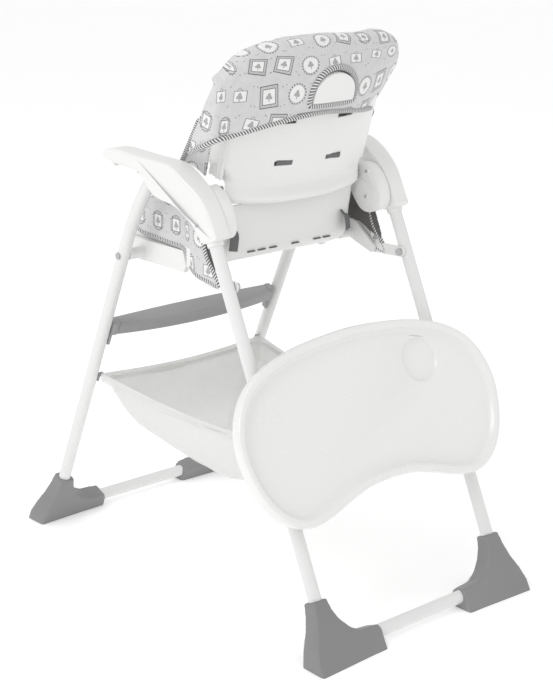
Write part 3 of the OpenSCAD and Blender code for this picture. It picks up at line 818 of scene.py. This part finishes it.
def back_shell():
    bm = bmesh.new()
    bmesh.ops.create_grid(bm, x_segments=72, y_segments=64, size=1.0)
    for vert in bm.verts:
        u, v = vert.co.x, (vert.co.y + 1) / 2
        t = 23 + 262 * v
        top_round = max(0.0, (t - 225) / 60)
        half = 148 + 16 * max(0.0, min(1.0, (t - 66) / 24)) - 40 * top_round ** 3
        x = u * half
        depth = back_shell_depth(x, t)
        edge = max(0.0, (abs(u) - 0.94) / 0.06)
        step = max(0.0, min(1.0, (t - 62) / 10))
        depth -= 26 * edge * step + 5 * edge
        foot_roll = max(0.0, (31 - t) / 8)
        vert.co = (x, depth - 9 * foot_roll ** 2, t + foot_roll)
    slots = [(side * place - 18, side * place + 18, level - 4, level + 4)
             for side in SIDES.values() for place, level in ((53, 97), (62, 170))]
    gone = [f for f in bm.faces if any(a < f.calc_center_median().x < b and c < f.calc_center_median().z < d
                                       for a, b, c, d in slots)]
    bmesh.ops.delete(bm, geom=gone, context="FACES")
    bmesh.ops.recalc_face_normals(bm, faces=bm.faces)
    bmesh.ops.solidify(bm, geom=bm.faces[:], thickness=2.6)
    for side in SIDES.values():
        x0, x1 = sorted((side * 152.5, side * 158))
        block(bm, (x0, -43, 66), (x1, -16, 158), 1.2)
        x0, x1 = sorted((side * 154, side * 161))
        block(bm, (x0, -44, 66), (x1, -40, 158), 1.5)
        block(bm, (x0, -26, 66), (x1, -22.5, 158), 1.5)
    finish_piece("back_moulding", bm, ON_BACK, WHITE_SHELL, "back_rest", ("back_shell",), 40)


# ---------------------------------------------------------------------------------------------
# Hood, wings and pads
# ---------------------------------------------------------------------------------------------
HOOD_LEFT = 205.0
HOOD_RIGHT = 209.0
HOOD_TOP = 297.0


def hood_side(t):
    """Half width of the hood to the left and to the right at a height up the back."""
    rise = max(0.0, min(1.0, (t - 160) / 110))
    return HOOD_LEFT - 4 * (1 - rise), 148 + (HOOD_RIGHT - 148) * rise ** 1.3


def hem_height(x):
    """Height of the hood's lower edge: arched over the middle."""
    return 190 - 46 * min(1.0, abs(x - 8) / 205) ** 1.7


def hood_depth(x, t):
    """How far the hood stands behind the back's plane: crowned both ways."""
    left, right = hood_side(min(t, 255))
    across = min(1.0, abs(x) / (left if x > 0 else right))
    rise = max(0.0, (t - 215) / (HOOD_TOP - 215))
    return 34 - (30 if x > 0 else 48) * across ** 2.2 - 20 * rise ** 2.4


def cut_hole(piece, cutter_bm, place):
    """Cuts a shape out of a piece."""
    bmesh.ops.recalc_face_normals(cutter_bm, faces=cutter_bm.faces)
    bmesh.ops.transform(cutter_bm, matrix=Matrix.Scale(MM, 4) @ place, verts=cutter_bm.verts)
    mesh = bpy.data.meshes.new("cutter")
    cutter_bm.to_mesh(mesh)
    cutter_bm.free()
    cutter = bpy.data.objects.new("cutter", mesh)
    bpy.context.scene.collection.objects.link(cutter)
    cut = piece.modifiers.new("cut", "BOOLEAN")
    cut.object = cutter
    cut.operation = "DIFFERENCE"
    cut.solver = "EXACT"
    settle(piece)
    bpy.data.objects.remove(cutter)
    bpy.data.meshes.remove(mesh)


def handle_opening():
    """The D-shaped cut-out round the recline handle, flat side down."""
    shape = [(-50, 206), (-46, 232), (-29, 252), (0, 260), (29, 252), (46, 232), (50, 206), (41, 200),
             (0, 199.5), (-41, 200)]
    return smooth_loop([(x - 6, t + 3) for x, t in shape], 6)


def back_flat(place):
    """Flat cloth position of a point on the back rest, unrolled round its sides and over its top."""
    local = ON_BACK.inverted() @ place
    depth = 26 - local.y
    side_wrap = max(0.0, min(1.0, (abs(local.x) - 180) / 30))
    top_wrap = max(0.0, min(1.0, (local.z - 262) / 26))
    x = local.x + math.copysign(depth * side_wrap, local.x)
    return (x, local.z + depth * top_wrap * (1 - side_wrap), 0.0)


def hood():
    """The cover over the top of the back: a crowned face, rounded over and turned forward at its rim."""
    bm = bmesh.new()
    bmesh.ops.create_grid(bm, x_segments=110, y_segments=56, size=1.0)
    for vert in bm.verts:
        u, v = vert.co.x, (vert.co.y + 1) / 2
        face_u = max(-1.0, min(1.0, u / 0.84))
        face_v = min(1.0, v / 0.80)
        low = hem_height(face_u * (197 if u > 0 else 148))
        high = HOOD_TOP - (13 if u > 0 else 15) * face_u ** 2 - 46 * abs(face_u) ** (6 if u > 0 else 7)
        t = low + (high - low) * face_v
        left, right = hood_side(t)
        x = face_u * (left if u > 0 else right)
        depth = hood_depth(x, t)
        beyond_u = max(0.0, (abs(u) - 0.84) / 0.16)
        beyond_v = max(0.0, (v - 0.80) / 0.20)
        over = max(beyond_u, beyond_v)
        turn = min(1.0, over * 3) * math.pi / 2
        if over > 0:
            share = Vector((beyond_u, beyond_v)).normalized()
            x += math.copysign(9 * math.sin(turn) * share.x, u)
            t += 9 * math.sin(turn) * share.y
            reach = (62 if u > 0 else 36) * share.x * (1 - 0.8 * face_v ** 1.5) + 30 * share.y
            forward = 9 * (1 - math.cos(turn)) + max(0.0, over - 0.33) * reach
            depth -= forward
            t -= 0.85 * forward * (1 - face_v) * share.x
        vert.co = (x, depth, t)
    bmesh.ops.recalc_face_normals(bm, faces=bm.faces)
    piece = finish_piece("hood_cover", bm, ON_BACK, PRINT_CLOTH, "back_rest", ("hood",))
    shell = piece.modifiers.new("cover_thickness", "SOLIDIFY")
    shell.thickness = 7 * MM
    shell.use_even_offset = False
    settle(piece)
    cutter = bmesh.new()
    prism(cutter, handle_opening(), 2, 70, from_behind)
    cut_hole(piece, cutter, ON_BACK)
    remesh(piece, 3.0)
    soften(piece, 10)
    wrinkle(piece, 75, 3.2, 4.0)
    wrinkle(piece, 24, 0.9, 9.0)
    piece.data.shade_smooth()
    store_cloth(piece, back_flat)
    if not piece.data.materials:
        piece.data.materials.append(PRINT_CLOTH)
    return piece


def hood_trim():
    """Striped binding along the hood's lower edge and round the handle's cut-out."""
    hem = [Vector((x, hood_depth(x, hem_height(x)) - 2.0, hem_height(x))) for x in range(196, -145, -16)]
    hem = [Vector((206, -44, 108)), Vector((208, -16, 131)), *hem, Vector((-156, -24, 155)),
           Vector((-156, -36, 146))]
    sweep("hood_hem_binding", smooth_path(hem, 5), 5.6, 4.4, (0, 0.5, -1), ON_BACK, BINDING, "back_rest")
    opening = [Vector((x, hood_depth(x, t) - 2.0, t)) for x, t in handle_opening()]
    sweep("handle_opening_binding", opening, 5.2, 4.4, (0, 1, 0), ON_BACK, BINDING, "back_rest",
          closed=True)
    hook = smooth_path([(-152, -16, 156), (-157, -20, 148), (-155, -22, 136), (-151, -22, 124)], 5)
    sweep("hood_strap", hook, 5.0, 1.3, (0.6, 1, 0), ON_BACK, WEBBING, "back_rest")


def recline_handle():
    bm = bmesh.new()
    shape = [(-43, 208), (-40, 232), (-24, 248), (0, 254), (24, 248), (40, 232), (43, 208), (34, 205),
             (0, 204.5), (-34, 205)]
    shape = smooth_loop([(x - 5, t + 2) for x, t in shape], 5)
    prism(bm, shape, 16, 36, from_behind, 9.0, 6)
    block(bm, (-15, 0.6, 206), (15, 20, 226), 1.5)
    piece = finish_piece("recline_lever", bm, ON_BACK, WHITE_SHELL, "recline_grip",
                         ("recline_handle",), 40)
    return piece


WING_SHAPE = [
    (-134, 672), (-150, 643), (-160, 620), (-158, 604), (-143, 597), (-89, 593), (-26, 588), (-12, 570),
    (-2, 556), (16, 547), (44, 543), (70, 541), (40, 580), (27, 613), (11, 640), (-15, 665), (-70, 678)
]


def wing_flat(place):
    return (place.y + 20, place.z, 0.0)


# Outline of the dark sheet inside each wing: painted shade where the wing's rear edge meets the leg.
SHADE_SHEET_SHAPE = [(-60, 640), (-10, 668), (24, 646), (42, 618), (56, 586), (63, 562), (30, 570), (-20, 600)]


def wing_bulge(y):
    """How far the wing stands out from the seat's side: its rear tip hangs over the folding links."""
    back = max(0.0, min(1.0, (y + 40) / 50))
    return 31 * back * back * (3 - 2 * back)


def wing_panel(name, side, shape, near, thick, material, follow):
    bm = bmesh.new()
    prism(bm, smooth_loop(shape, 2), near, near + thick, from_side)
    piece = finish_piece(name, bm, HERE, material, "front_frame")
    remesh(piece, 2.2)
    for vert in piece.data.vertices:
        bulge = wing_bulge(vert.co.y / MM) * MM
        vert.co += Vector((bulge, 1.1 * bulge * follow, 0.44 * bulge * follow))
        vert.co.x *= side
    if side < 0:
        piece.data.flip_normals()
    soften(piece, 2)
    wrinkle(piece, 55, 1.0, 3.0 + side)
    piece.data.shade_smooth()
    store_cloth(piece, wing_flat)
    if not piece.data.materials:
        piece.data.materials.append(material)
    return piece


def wings():
    for label, side in SIDES.items():
        panel = wing_panel(f"side_wing_{label}", side, WING_SHAPE, 154.6, 3.0, PRINT_CLOTH, 1.0)
        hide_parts(f"wing_{label}")
        # A dark sheet just inboard of the wing: painted shade between the wing's rear edge and the leg.
        shade_sheet = wing_panel(f"wing_shade_sheet_{label}", side, SHADE_SHEET_SHAPE, 152.2, 2.0, PAINTED_SHADE_CLOTH, 1.0)
        edge = [Vector((side * (156.2 + wing_bulge(y)), y + 1.1 * wing_bulge(y), z + 0.44 * wing_bulge(y)))
                for y, z in smooth_loop(WING_SHAPE, 4)]
        trim = sweep(f"wing_binding_{label}", edge, 4.5, 3.0, (side, 0, 0), HERE, BINDING, "front_frame",
                     closed=True)
        for soft in (panel, shade_sheet, trim):
            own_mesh(soft)
        bm = bmesh.new()
        bmesh.ops.create_grid(bm, x_segments=10, y_segments=12, size=1.0)
        for vert in bm.verts:
            u, v = (vert.co.x + 1) / 2, (vert.co.y + 1) / 2
            vert.co = (side * (166 - 4 * math.sin(math.pi * u) + 12 * v * u), -46 - 60 * u * (1 - 0.62 * v),
                       62 + 88 * v)
        bmesh.ops.recalc_face_normals(bm, faces=bm.faces)
        bmesh.ops.solidify(bm, geom=bm.faces[:], thickness=3.0)
        bolster = finish_piece(f"side_bolster_{label}", bm, ON_BACK, PRINT_CLOTH, "back_rest")
        store_cloth(bolster, wing_flat)
        edge = [Vector((side * (167 + 12 * v), -106 + 60 * 0.62 * v, 62 + 88 * v)) for v in
                (k / 10 for k in range(11))]
        sweep(f"bolster_binding_{label}", edge, 4.0, 3.4, (side, 0, 0), ON_BACK, BINDING, "back_rest")


def pad(name, low, high, place, body, replaced, flat_of, cap, rise=None, voxel=6.0):
    """A padded cushion puffed by a cloth simulation, from a slightly smaller block."""
    bm = bmesh.new()
    block(bm, low, high, 9.0, 3)
    piece = finish_piece(name, bm, place, PRINT_CLOTH, body, replaced)
    remesh(piece, voxel)
    if rise:
        for vert in piece.data.vertices:
            vert.co.z += rise(vert.co.y / MM) * MM
    soften(piece, 3)
    inflate(piece, 4.0, cap)
    level = piece.modifiers.new("smooth", "SUBSURF")
    level.levels = level.render_levels = 1
    settle(piece)
    piece.data.shade_smooth()
    store_cloth(piece, flat_of)
    if not piece.data.materials:
        piece.data.materials.append(PRINT_CLOTH)
    return piece


def pads():
    def seat_flat(place):
        return (place.x, place.y, 0.0)

    def back_pad_flat(place):
        local = ON_BACK.inverted() @ place
        return (local.x, local.z, 0.0)

    def seat_rise(y):
        return 5 + 28 * max(0.0, min(1.0, (y + 45) / 105)) ** 1.5

    pad("seat_cushion", (-130, -182, 557), (130, 30, 573), HERE, "front_frame", ("seat_pad",), seat_flat, 5,
        seat_rise)
    pad("back_cushion", (-132, -31, 12), (132, -10, 282), ON_BACK, "back_rest", ("back_pad",),
        back_pad_flat, 6)


def straps():
    for label, side in SIDES.items():
        slot_out = smooth_path([(side * 51, 8, 97), (side * 51, -16, 98), (side * 51, -36, 94),
                                (side * 50, -39, 70), (side * 48, -38, 40), (side * 46, -37, 16)], 6)
        sweep(f"shoulder_strap_{label}", slot_out, 12.5, 1.1, (0, 1, 0.01), ON_BACK, WEBBING, "back_rest",
              ("shoulder_straps",))
        end = smooth_path([(side * 53 - 16, 13.4, 96), (side * 53, 13.0, 97), (side * 53 + 16, 11.4, 98)], 6)
        sweep(f"strap_end_{label}", end, 4.6, 1.5, (0, 1, 0), ON_BACK, WEBBING, "back_rest",
              ("strap_keepers",))
        lap = smooth_path([(side * 138, -18, 600), (side * 120, -20, 584), (side * 90, -22, 581),
                           (side * 60, -24, 582), (side * 36, -26, 586)], 6)
        sweep(f"lap_strap_{label}", lap, 12.5, 1.1, (0, 0, 1), HERE, WEBBING, "front_frame",
              ("lap_straps",))
        tail = smooth_path([(side * 124, 56, 626), (side * 125, 67.5, 622), (side * 127, 69.5, 610),
                            (side * 129, 69.0, 596)], 6)
        sweep(f"lap_strap_end_{label}", tail, 8, 1.2, (side * 0.3, 1, 0), HERE, WEBBING, "front_frame")
    crotch = smooth_path([(0, -96, 579), (0, -80, 582), (0, -60, 583), (0, -44, 586)], 6)
    sweep("crotch_webbing", crotch, 12.5, 1.1, (0, 0, 1), HERE, WEBBING, "front_frame",
          ("crotch_strap",))
    bm = bmesh.new()
    shape = smooth_loop([(-30, -12), (-26, -40), (0, -48), (26, -40), (30, -12), (0, -9)], 5)
    prism(bm, shape, 577, 590, lambda a, b, h: (a, b, h), 3.5, 4)
    finish_piece("buckle_case", bm, HERE, SMALL_GREY, "front_frame", ("buckle",))
    bm = bmesh.new()
    rod(bm, Matrix.Translation((0, -29, 586)), 8.6, 6.5, 1.6)
    finish_piece("buckle_press", bm, HERE, BAR_GREY, "harness_button", ("buckle_button",))


# ---------------------------------------------------------------------------------------------
# Footrest, basket and tray
# ---------------------------------------------------------------------------------------------
def footrest():
    rise = 419 / math.cos(LEG_LEAN)
    bm = bmesh.new()
    rear_edge = [(x, 13 + 12 * (1 - (x / 176) ** 2)) for x in range(-176, 177, 22)]
    front_edge = [(x, -13 - 3 * (1 - (x / 176) ** 2)) for x in range(176, -177, -44)]
    prism(bm, rear_edge + front_edge, rise - 14, rise + 12, lambda a, b, h: (a, b, h), 7.0, 5)
    for side in SIDES.values():
        low_x, high_x = sorted((side * 172, side * 188.4))
        block(bm, (low_x, -12, rise - 15), (high_x, 12, rise + 14), 6.0, 4)
        low_x, high_x = sorted((side * 182, side * 188.4))
        block(bm, (low_x, -7, rise - 38), (high_x, 7, rise), 2.5, 3)
    finish_piece("foot_bar_moulding", bm, ON_FRONT, BAR_GREY, "foot_bar", ("footrest",), 40)


def basket():
    """A cloth sling hung from the four legs: its floor sags and its corners gather."""
    around, down = 128, 26
    top = 321.0
    reach = LEG_REACH - top * math.tan(LEG_LEAN) - 16
    bm = bmesh.new()
    flat = bm.verts.layers.float_vector.new("cloth")

    def rim_point(k):
        """Walks round the rim: front edge, right side, rear edge, left side."""
        q = 4 * k / around
        leg, part = int(q) % 4, q - int(q)
        corners = [(187, -reach - 3), (-187, -reach - 3), (-187, reach + 3), (187, reach + 3)]
        a, b = Vector(corners[leg]), Vector(corners[(leg + 1) % 4])
        spot = a.lerp(b, part)
        bow = math.sin(math.pi * part)
        sag = 6 if leg % 2 == 0 else 24
        pull = Vector((0, 10 if leg == 0 else -10)) if leg % 2 == 0 else Vector((20 if leg == 1 else -20, 0))
        spot += pull * bow
        return spot.x, spot.y, top - sag * bow

    ring = None
    for level in range(down + 1):
        share = level / down
        depth = math.sin(share * math.pi / 2)
        shrink = (1 - share ** 2.6) ** 0.62 if share < 1 else 0.0
        new_ring = []
        for k in range(around):
            x, y, z = rim_point(k)
            corner = abs(math.sin(4 * math.pi * k / around))
            round_off = 1 - 0.16 * share * (1 - corner)
            floor_y = 20 + (y - 20) * (0.35 + 0.65 * shrink) * round_off if share < 1 else 20
            wide = x * (0.30 + 0.70 * shrink) * round_off
            fold = noise.noise(Vector((x * 0.02, y * 0.02, share * 3))) * 5 * math.sin(math.pi * share)
            sink = 116 * depth ** 1.15 * (1 - 0.10 * (1 - corner) * share)
            new_ring.append(bm.verts.new((wide + fold, floor_y + fold, z - sink)))
            new_ring[-1][flat] = (k * 12.0, share * 260, 0)
        edges = [bm.edges.new((new_ring[k], new_ring[(k + 1) % around])) for k in range(around)]
        if ring:
            bmesh.ops.bridge_loops(bm, edges=ring + edges)
        ring = edges
    made = bmesh.ops.holes_fill(bm, edges=ring, sides=0)
    bmesh.ops.poke(bm, faces=made["faces"])
    piece = finish_piece("basket_sling", bm, HERE, SLING, "front_frame", ("basket",), 80)
    soften(piece, 6)
    wrinkle(piece, 85, 9.0, 2.0)
    wrinkle(piece, 30, 2.4, 6.0, (1.0, 0.5, 1.0))
    soften(piece, 2)
    thick = piece.modifiers.new("cloth_thickness", "SOLIDIFY")
    thick.thickness = 1.4 * MM
    settle(piece)
    piece.data.shade_smooth()
    return piece, reach, top, rim_point, around


def basket_trim(rim_point, around):
    """A rolled hem round the rim and a strap and clip at each front leg."""
    bm = bmesh.new()
    for side in SIDES.values():
        low_x, high_x = sorted((side * 180, side * 190))
        block(bm, (low_x, 3, 351), (high_x, 9, 358), 1.4)
        block(bm, (side * 188 - 2.5, 2, 340), (side * 188 + 2.5, 8, 352), 1.4)
    finish_piece("sling_clips", bm, ON_FRONT, BAR_GREY, "front_frame", ("basket_clips",))
    hem = [Vector(rim_point(k)) + Vector((0, 0, -5)) for k in range(around)]
    roll = sweep("basket_hem", hem, 2.0, 8.0, (0, 0, 1), HERE, SLING, "front_frame", closed=True)
    return roll


TRAY_SHAPE = [
    (0, 508), (0.25, 504), (0.48, 495), (0.70, 476), (0.86, 448), (0.96, 408), (1, 362), (0.985, 318),
    (0.93, 274), (0.84, 240), (0.73, 221), (0.62, 216), (0.48, 224), (0.30, 240), (0.12, 250)
]
TRAY_HALF = 287.0
TRAY_X = 6.0


def tray_outline(steps):
    right = [(x * TRAY_HALF, s) for x, s in TRAY_SHAPE]
    left = [(-x, s) for x, s in right[:0:-1]]
    return [p + Vector((TRAY_X, 0)) for p in smooth_loop(right + left, steps)]


def inset_loop(points, amount):
    count = len(points)
    moved = []
    for i, p in enumerate(points):
        along = (points[(i + 1) % count] - points[i - 1]).normalized()
        moved.append(p + amount * Vector((along.y, -along.x)))
    return moved


def lathe_outline(bm, loop, profile):
    """Extrudes a closed outline's edges step by step: each step is (inset, height)."""
    amount, height = profile[0]
    verts = [bm.verts.new((p.x, height, p.y)) for p in inset_loop(loop, amount)]
    count = len(verts)
    edges = [bm.edges.new((verts[i], verts[(i + 1) % count])) for i in range(count)]
    for amount, height in profile[1:]:
        made = bmesh.ops.extrude_edge_only(bm, edges=edges)
        new_edges = [g for g in made["geom"] if isinstance(g, bmesh.types.BMEdge)]
        new_edges = [e for e in new_edges if len(e.link_faces) == 1]
        ring = {v for e in new_edges for v in e.verts}
        targets = inset_loop(loop, amount)
        for vert, target in zip(verts, targets):
            near = next(e.other_vert(vert) for e in vert.link_edges if e.other_vert(vert) in ring)
            near.co = (target.x, height, target.y)
            verts[verts.index(vert)] = near
        edges = new_edges
    return verts, edges


def tray():
    loop = tray_outline(6)
    bm = bmesh.new()
    rim = [(6.0, 24.0), (2.0, 24.5), (0.4, 26.0), (0.0, 29.0), (0.0, 36.0), (0.8, 39.6), (2.6, 42.2), (5.4, 43.4),
           (9.0, 43.4), (12.0, 42.4), (14.4, 40.0), (16.2, 36.6), (18.4, 33.2), (22.0, 31.4), (27.0, 31.0)]
    verts, edges = lathe_outline(bm, loop, rim)
    cup = bmesh.ops.create_circle(bm, segments=72, radius=41, matrix=Matrix.Translation((-131, 31, 427))
                                  @ Matrix.Rotation(math.pi / 2, 4, "X"))
    cup_edges = [e for e in bm.edges if set(e.verts) <= set(cup["verts"])]
    bmesh.ops.triangle_fill(bm, use_beauty=True, use_dissolve=True, edges=edges + cup_edges,
                            normal=(0, 1, 0))
    steps = ((40.2, 30.7), (39.2, 29.6), (38.4, 27.8), (37.6, 26.2), (36.2, 25.0), (33.6, 24.4), (30, 24.2))
    ring = cup_edges
    last = 41.0
    for radius, height in steps:
        made = bmesh.ops.extrude_edge_only(bm, edges=ring)
        new_verts = {g for g in made["geom"] if isinstance(g, bmesh.types.BMVert)}
        for vert in new_verts:
            away = Vector((vert.co.x + 131, 0, vert.co.z - 427)) * (radius / last)
            vert.co = (-131 + away.x, height, 427 + away.z)
        ring = [g for g in made["geom"] if isinstance(g, bmesh.types.BMEdge) and set(g.verts) <= new_verts]
        last = radius
    bmesh.ops.holes_fill(bm, edges=ring, sides=0)
    bmesh.ops.recalc_face_normals(bm, faces=bm.faces)
    finish_piece("tray_top_moulding", bm, ON_REAR, WHITE_TRAY, "tray_top", ("tray_insert",), 32,
                 normals=False)
    bm = bmesh.new()
    wall = [(30.0, 20.4), (12.0, 20.4), (8.0, 21.0), (6.2, 23.0), (6.0, 26.0), (6.0, 36.0), (7.5, 37.6),
            (9.0, 36.0), (9.2, 23.6), (12.0, 22.6), (30.0, 22.6)]
    verts, edges = lathe_outline(bm, loop, wall)
    bmesh.ops.holes_fill(bm, edges=[e for e in bm.edges if e.is_boundary], sides=0)
    finish_piece("tray_base_moulding", bm, ON_REAR, WHITE_TRAY, "tray", ("tray_base",), 32)


# ---------------------------------------------------------------------------------------------
# The CAD nodes that keep their shape
# ---------------------------------------------------------------------------------------------
def finish_cad_nodes():
    looks = {
        WHITE_TUBE: ["rear_leg_tube"],
        WHITE_SHELL: ["seat_rail_left", "seat_rail_right", "seat_lug_left", "seat_lug_right", "link_left",
                      "link_right"],
        STEEL: ["hub_bracket_left", "hub_bracket_right", "hub_pins", "front_rivets", "housing_screws",
                "link_rivets_left", "link_rivets_right", "latch_bolt_left", "latch_bolt_right"],
        SMALL_GREY: ["front_leg_plugs", "fold_handle", "tray_hook_left", "tray_hook_right",
                     "tray_lever_left", "tray_lever_right"],
    }
    for material, nodes in looks.items():
        for name in nodes:
            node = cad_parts[name]
            if not node.material_slots:
                node.data.materials.append(material)
            for place in node.material_slots:
                place.material = material


# ---------------------------------------------------------------------------------------------
# Floor, light and camera
# ---------------------------------------------------------------------------------------------
def studio():
    bpy.ops.mesh.primitive_plane_add(size=40, location=(0, 0, 0))
    floor = bpy.context.object
    floor.name = "studio_floor"
    material, tree, shader = start_material("pale_floor")
    drift = noise_value(tree, object_place(tree), 2.0, 2.0)
    join(tree, blend_colour(tree, drift, (0.93, 0.93, 0.93, 1), (0.95, 0.95, 0.95, 1)),
         shader.inputs["Base Color"])
    shader.inputs["Roughness"].default_value = 0.9
    shader.inputs["Emission Color"].default_value = (1, 1, 1, 1)
    shader.inputs["Emission Strength"].default_value = 0.24
    floor.data.materials.append(material)

    world = bpy.data.worlds.new("studio_air")
    bpy.context.scene.world = world
    world.use_nodes = True
    world.node_tree.nodes["Background"].inputs["Color"].default_value = (1, 1, 1, 1)
    world.node_tree.nodes["Background"].inputs["Strength"].default_value = 0.78

    def lamp(name, place, size, power):
        light = bpy.data.lights.new(name, "AREA")
        light.size = size
        light.energy = power
        thing = bpy.data.objects.new(name, light)
        bpy.context.scene.collection.objects.link(thing)
        thing.location = place
        thing.rotation_euler = (Vector((0, 0, 0.5)) - Vector(place)).to_track_quat("-Z", "Y").to_euler()

    lamp("key_light", (2.8, 0.4, 3.0), 1.8, 34)
    lamp("fill_light", (-2.6, 2.4, 2.2), 2.6, 5)
    lamp("top_light", (0.0, -1.4, 3.6), 2.6, 8)

    view = bpy.context.scene.view_settings
    view.view_transform = "Standard"

    camera = bpy.data.cameras.new("camera")
    camera.sensor_width = 36.0
    camera.lens = 83.12
    camera.clip_end = 60
    viewer = bpy.data.objects.new("camera", camera)
    bpy.context.scene.collection.objects.link(viewer)
    viewer.location = (1.7463, 2.0508, 1.2096)
    viewer.rotation_euler = Vector((-0.6253, -0.7242, -0.2908)).to_track_quat("-Z", "Y").to_euler()
    bpy.context.scene.camera = viewer


studio()
front_tube()
make_feet()
make_arms()
seat_bucket()
back_shell()
hood()
hood_trim()
recline_handle()
wings()
pads()
straps()
footrest()
sling, reach, top, rim_point, around = basket()
roll = basket_trim(rim_point, around)
for soft in (sling, roll):
    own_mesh(soft)
tray()
finish_cad_nodes()
